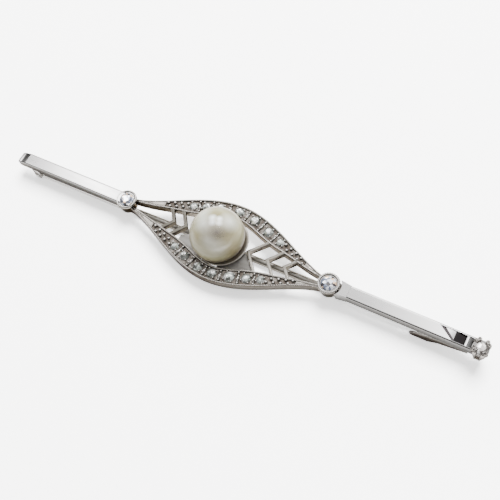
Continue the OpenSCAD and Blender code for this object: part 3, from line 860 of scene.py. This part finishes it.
class BROOCH_OT_claws(bpy.types.Operator):
    """Builds the open claw setting at the bar's right end"""
    bl_idname = "brooch.claws"
    bl_label = "Claw setting"

    def execute(self, context):
        bm = bmesh.new()
        foot = [(0.36, 1.22), (0.72, 1.22), (0.75, 1.3), (0.79, 2.0), (0.79, 2.14), (0.6, 2.14),
                (0.56, 1.9), (0.36, 1.22)]
        gallery = [(0.66, 2.66), (0.9, 2.66), (0.94, 2.76), (0.94, 2.9), (0.76, 2.94), (0.66, 2.66)]
        for profile in (foot, gallery):
            turned(bm, profile, (CLAW_X, CLAW_Y), 36)
        for corner in (45, 135, 225, 315):
            for side in (-1, 1):
                self.prong(bm, corner, side)
        finish_piece("claw_setting", bm, "claw", "frame", angle=60)
        return {"FINISHED"}

    def prong(self, bm, corner, side):
        """Half of a scroll claw: it leaves the foot apart from its twin and joins it over the stone."""
        last = None
        for r, z, spread, size in PRONG:
            a = math.radians(corner + side * spread)
            # The crown is a little narrower along the bar than across it.
            place = at(CLAW_X + 0.82 * r * math.cos(a), CLAW_Y + r * math.sin(a), z)
            ball(bm, place, size, (1, 1, 1), 16, 10)
            if last:
                rod(bm, last[0], place, last[1], size, 16)
            last = (place, size)


class BROOCH_OT_stones(bpy.types.Operator):
    """Cuts the brilliant diamonds and dresses the rose-cut stones"""
    bl_idname = "brooch.stones"
    bl_label = "Stones"

    def execute(self, context):
        diamonds = (("left_diamond", "diamond", -COLLET_X, 0, 2.85, 1.88),
                    ("right_diamond", "diamond", COLLET_X - COLLET_LEAN, 0, 2.93, 1.82),
                    ("end_diamond", "end", CLAW_X, CLAW_Y, 3.2, 1.8))
        for node, material, x, y, z, d in diamonds:
            bm = bmesh.new()
            self.brilliant(bm, x, y, z, d / 2)
            finish_piece("cut_" + node, bm, material, node, soft=False)
        for name, way, stones in (("far_stone_", 1, FAR_STONES), ("near_stone_", -1, NEAR_STONES)):
            for i, (x, d) in enumerate(stones):
                bm = bmesh.new()
                node = name + str(i + 1)
                self.rose(bm, x, way * middle_y(x), PANEL_TOP - 0.26, d, 13 * i + 7 * way)
                finish_piece("cut_" + node, bm, "rose", node, soft=False)
        return {"FINISHED"}

    def ring(self, bm, x, y, z, r, count, turn):
        """Corner points round an upright axis, later joined by the hull."""
        place = Matrix.Translation(at(x, y, z)) @ Matrix.Rotation(turn, 4, "Z")
        bmesh.ops.create_circle(bm, cap_ends=False, segments=count, radius=r * MM, matrix=place)

    def hull(self, bm):
        made = bmesh.ops.convex_hull(bm, input=bm.verts[:])
        inside = made["geom_interior"] + made["geom_unused"]
        loose = {g for g in inside if isinstance(g, bmesh.types.BMVert)}
        bmesh.ops.delete(bm, geom=list(loose), context="VERTS")
        bmesh.ops.dissolve_limit(bm, angle_limit=math.radians(1), verts=bm.verts, edges=bm.edges)

    def brilliant(self, bm, x, y, z, r):
        """A brilliant cut with table, crown, girdle, pavilion and point."""
        step = math.pi / 8
        for rise, width, count, turn in ((0.32, 0.55, 8, 0), (0.22, 0.76, 8, step), (0.03, 1, 16, step / 2),
                                         (-0.03, 1, 16, step / 2), (-0.66, 0.24, 8, step)):
            self.ring(bm, x, y, z + rise * r, width * r, count, turn)
        bm.verts.new(at(x, y, z - 0.86 * r))
        self.hull(bm)

    def rose(self, bm, x, y, z, d, degrees):
        """A rose cut on a flat base, turned by some degrees so that no two look alike."""
        turn = math.radians(degrees)
        h = 0.42 * d
        for rise, width, count, shift in ((0, 0.5, 16, 0), (0.16, 0.5, 16, 0), (0.62, 0.37, 8, 1),
                                          (0.93, 0.19, 8, 0), (1, 0.1, 8, 1)):
            self.ring(bm, x, y, z + rise * h, width * d, count, turn + shift * math.pi / 8)
        self.hull(bm)


class BROOCH_OT_pearl(bpy.types.Operator):
    """Shapes the slightly uneven pearl with its flat foot"""
    bl_idname = "brooch.pearl"
    bl_label = "Pearl"

    def execute(self, context):
        bm = bmesh.new()
        centre = at(*PEARL_CENTRE)
        bmesh.ops.create_uvsphere(bm, u_segments=96, v_segments=64, radius=PEARL_RADIUS * MM,
                                  matrix=Matrix.Translation(centre))
        cut(bm, at(0, 0, PEARL_FOOT_Z), (0, 0, -1), clear=True)
        bmesh.ops.holes_fill(bm, edges=[e for e in bm.edges if e.is_boundary], sides=0)
        # The surface is uneven inwards only, so the pearl keeps its width.
        for v in bm.verts:
            out = v.co - centre
            wobble = noise.noise(out * 420) * 0.012 + noise.noise(out * 1100) * 0.004
            v.co = centre + out * (1 + min(0.0, wobble) * 0.6)
        finish_piece("round_pearl", bm, "pearl", "pearl", angle=50)
        return {"FINISHED"}


class BROOCH_OT_pin(bpy.types.Operator):
    """Builds the pin stem, its eye and its rivet"""
    bl_idname = "brooch.pin"
    bl_label = "Pin"

    def execute(self, context):
        bm = bmesh.new()
        start, bend, tip = at(-27.6, -0.288, STEM_Z), at(22.4, 0.336, STEM_Z), at(27.37, 0.4, STEM_Z)
        rod(bm, start, bend, 0.42, 0.42, 32)
        rod(bm, bend, tip, 0.42, 0.05, 32)
        rod(bm, at(HINGE_X, -0.5, STEM_Z), at(HINGE_X, -0.1, STEM_Z), 0.52, 0.52, 32)
        rod(bm, at(HINGE_X, -0.3, STEM_Z), start + Vector((0.1 * MM, 0, 0)), 0.2, 0.4, 20)
        # Painted shadow on the stem's middle, where it runs under the panel.
        shadow_from, shadow_to, shadow_slot = -12.6, 13.4, 1
        for x in (shadow_from, shadow_to):
            cut(bm, at(x, 0, 0), (1, 0, 0))
        for f in bm.faces:
            if shadow_from < f.calc_center_median().x / MM + CENTRE_X < shadow_to:
                f.material_index = shadow_slot
        piece = finish_piece("polished_stem", bm, "stem", "pin_stem", "pin")
        piece.data.materials.append(MATERIALS["stem_shadow"])
        bm = bmesh.new()
        rod(bm, at(HINGE_X, -0.88, STEM_Z), at(HINGE_X, 0.88, STEM_Z), 0.19, 0.19, 24)
        for y in (-0.84, 0.84):
            ball(bm, at(HINGE_X, y, STEM_Z), 0.3, (1, 0.3, 1), 20, 12)
        finish_piece("domed_rivet", bm, "stem", "hinge_rivet")
        return {"FINISHED"}


class BROOCH_OT_fittings(bpy.types.Operator):
    """Builds the hinge ears and the catch under the bar"""
    bl_idname = "brooch.fittings"
    bl_label = "Hinge and catch"

    def execute(self, context):
        bm = bmesh.new()
        for y0, y1 in ((-0.8, -0.53), (-0.07, 0.8)):
            points = [(-0.55, 1.7), (-0.55, 0.3), (-0.3, 0.0), (0.3, 0.0), (0.55, 0.3), (0.55, 1.7)]
            slab(bm, [at(HINGE_X + x, y0, z) for x, z in points], Vector((0, (y1 - y0) * MM, 0)))
        bevel(bm, long_edges(bm, 0.2), 0.04, 2)
        finish_piece("hinge_ears", bm, "stem", "frame")
        bm = bmesh.new()
        lip = [(24.0, 0.42), (24.06, 0.56), (24.3, 0.8), (25.2, 1.25), (26.5, 1.59), (28.0, 1.74),
               (28.7, 1.79), (30.7, 1.79), (30.7, 1.42), (29.9, 1.22), (27.4, 0.7), (26.2, 0.0),
               (24.4, 0.0), (24.12, 0.12)]
        far = [(24.0, 0.4), (24.0, 1.44), (27.9, 1.44), (27.9, 0.83), (27.4, 0.7), (26.2, 0.0),
               (24.4, 0.0), (24.12, 0.12)]
        roof = [(24.0, 1.08), (24.0, 1.44), (27.5, 1.44), (27.5, 1.08)]
        root = [(27.5, 0.72), (27.5, 1.5), (30.7, 1.5), (30.7, 1.42), (29.9, 1.22)]
        for points, y, wide in ((lip, -0.8, 0.26), (far, 0.87, 0.26), (roof, 0.4, 0.6), (root, -0.7, 1.4)):
            slab(bm, [at(x, y, z) for x, z in points], Vector((0, wide * MM, 0)))
        bevel(bm, long_edges(bm, 0.1), 0.04, 2)
        finish_piece("catch", bm, "wall", "frame")
        return {"FINISHED"}


SKY_STRENGTH = 1.6
# The key lamp's place and size in metres, and its power.
KEY_PLACE = (0.01, 0.22, 0.38)
KEY_SIZE = 0.26
KEY_WATTS = 13.0
# Soft glows in the studio: direction, tightness, strength.
GLOWS = (((-0.504, 0.311, 0.805), 700, 8.5), ((-0.42, 0.5, 0.76), 200, 7.0),
         ((-0.11, 0.67, 0.735), 200, 14.0), ((-0.13, 0.54, 0.83), 130, 4.0),
         ((0.03, 0.35, 0.935), 160, 5.0), ((-0.83, 0.155, 0.54), 60, 4.0), ((0.41, 0.78, 0.47), 60, 4.0))
# The view: degrees round, up and rolled, the point looked at, its distance in metres, the lens.
VIEW_ANGLES = (42.91, 62.11, -16.82)
VIEW_TARGET = (3.47, 0.26, PANEL_TOP)
VIEW_DISTANCE = 0.09204
SENSOR_WIDTH = 36
FOCAL_PIXELS = 775.68
PICTURE_WIDTH = 500


class BROOCH_OT_stage(bpy.types.Operator):
    """Sets the floor, the soft lights and the camera"""
    bl_idname = "brooch.stage"
    bl_label = "Stage"

    def execute(self, context):
        bm = bmesh.new()
        bmesh.ops.create_grid(bm, x_segments=1, y_segments=1, size=1.2)
        floor = new_object("table_top", bm)
        floor.data.materials.append(pale_floor("White table"))
        self.sky(context)
        self.key_light(context)
        self.camera(context)
        return {"FINISHED"}

    def sky(self, context):
        """A soft studio: bright overhead and behind the brooch, dim on the viewer's side."""
        world = bpy.data.worlds.new("Studio")
        n = Nodes(world, "Background", "Generated")
        low, high = (0.0, (0.14, 0.131, 0.122)), (1.0, (1.0, 1.0, 1.0))
        between = [(place, (level, level * 0.985, level * 0.975))
                   for place, level in ((0.35, 0.19), (0.6, 0.38), (0.8, 0.85))]
        total = n.ramp(self.toward(n, (-0.15, 0.35, 0.92)), low, high, *between)
        for direction, tightness, strength in GLOWS:
            glow = n.node("ShaderNodeVectorMath", operation="MULTIPLY_ADD")
            n.link(n.math("POWER", self.toward(n, direction), tightness), glow.inputs[0])
            glow.inputs[1].default_value = (strength, strength, strength)
            n.link(total, glow.inputs[2])
            total = glow.outputs[0]
        n.put("Color", total)
        n.put("Strength", SKY_STRENGTH)
        context.scene.world = world

    def toward(self, n, direction):
        """How far a view ray points along a direction, from 0 to 1."""
        dot = n.node("ShaderNodeVectorMath", operation="DOT_PRODUCT")
        dot.inputs[1].default_value = Vector(direction).normalized()
        n.link(n.coords, dot.inputs[0])
        clamp = n.node("ShaderNodeClamp")
        n.link(dot.outputs["Value"], clamp.inputs["Value"])
        return clamp.outputs[0]

    def key_light(self, context):
        """The large lamp. It isn't mirrored: the flat metal shows the studio's soft glows instead."""
        data = bpy.data.lights.new("key_softbox", "AREA")
        data.shape = "SQUARE"
        data.size = KEY_SIZE
        data.energy = KEY_WATTS
        lamp = bpy.data.objects.new("key_softbox", data)
        context.scene.collection.objects.link(lamp)
        lamp.location = KEY_PLACE
        lamp.rotation_euler = (-Vector(KEY_PLACE)).to_track_quat("-Z", "Y").to_euler()
        lamp.visible_glossy = False

    def camera(self, context):
        """Looks down on the brooch from the near right, as the photograph does."""
        azimuth, elevation, roll = (math.radians(a) for a in VIEW_ANGLES)
        back = Vector((math.sin(azimuth) * math.cos(elevation), -math.cos(azimuth) * math.cos(elevation),
                       math.sin(elevation)))
        right = Vector((math.cos(azimuth), math.sin(azimuth), 0))
        up = back.cross(right)
        rolled_right = math.cos(roll) * right + math.sin(roll) * up
        rolled_up = -math.sin(roll) * right + math.cos(roll) * up
        data = bpy.data.cameras.new("Camera")
        data.sensor_width = SENSOR_WIDTH
        data.lens = FOCAL_PIXELS * SENSOR_WIDTH / PICTURE_WIDTH
        data.clip_start, data.clip_end = 0.001, 10
        camera = bpy.data.objects.new("Camera", data)
        context.scene.collection.objects.link(camera)
        turn = Matrix((rolled_right, rolled_up, back)).transposed().to_4x4()
        camera.matrix_world = Matrix.Translation(at(*VIEW_TARGET) + back * VIEW_DISTANCE) @ turn
        context.scene.camera = camera


class BROOCH_PT_panel(bpy.types.Panel):
    """Lists the brooch's settings and its building steps"""
    bl_idname = "BROOCH_PT_panel"
    bl_label = "Bar Brooch"
    bl_space_type = "VIEW_3D"
    bl_region_type = "UI"
    bl_category = "Brooch"

    def draw(self, context):
        for group in (context.scene.brooch_colors, context.scene.brooch_sizes):
            for key in group.__annotations__:
                self.layout.prop(group, key)
        for step in STEPS:
            self.layout.operator(step.bl_idname)


STEPS = (BROOCH_OT_wings, BROOCH_OT_bands, BROOCH_OT_milgrain, BROOCH_OT_grains, BROOCH_OT_chevrons,
         BROOCH_OT_cup, BROOCH_OT_collets, BROOCH_OT_claws, BROOCH_OT_stones, BROOCH_OT_pearl,
         BROOCH_OT_pin, BROOCH_OT_fittings, BROOCH_OT_stage)
CLASSES = (BroochColors, BroochSizes) + STEPS + (BROOCH_PT_panel,)


def register():
    for cls in CLASSES:
        bpy.utils.register_class(cls)
    bpy.types.Scene.brooch_colors = bpy.props.PointerProperty(type=BroochColors)
    bpy.types.Scene.brooch_sizes = bpy.props.PointerProperty(type=BroochSizes)


def unregister():
    del bpy.types.Scene.brooch_sizes
    del bpy.types.Scene.brooch_colors
    for cls in reversed(CLASSES):
        bpy.utils.unregister_class(cls)


def main():
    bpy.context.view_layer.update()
    register()
    make_materials(bpy.context.scene.brooch_colors)
    for step in STEPS:
        group, name = step.bl_idname.split(".")
        getattr(getattr(bpy.ops, group), name)()


if __name__ == "__main__":
    main()
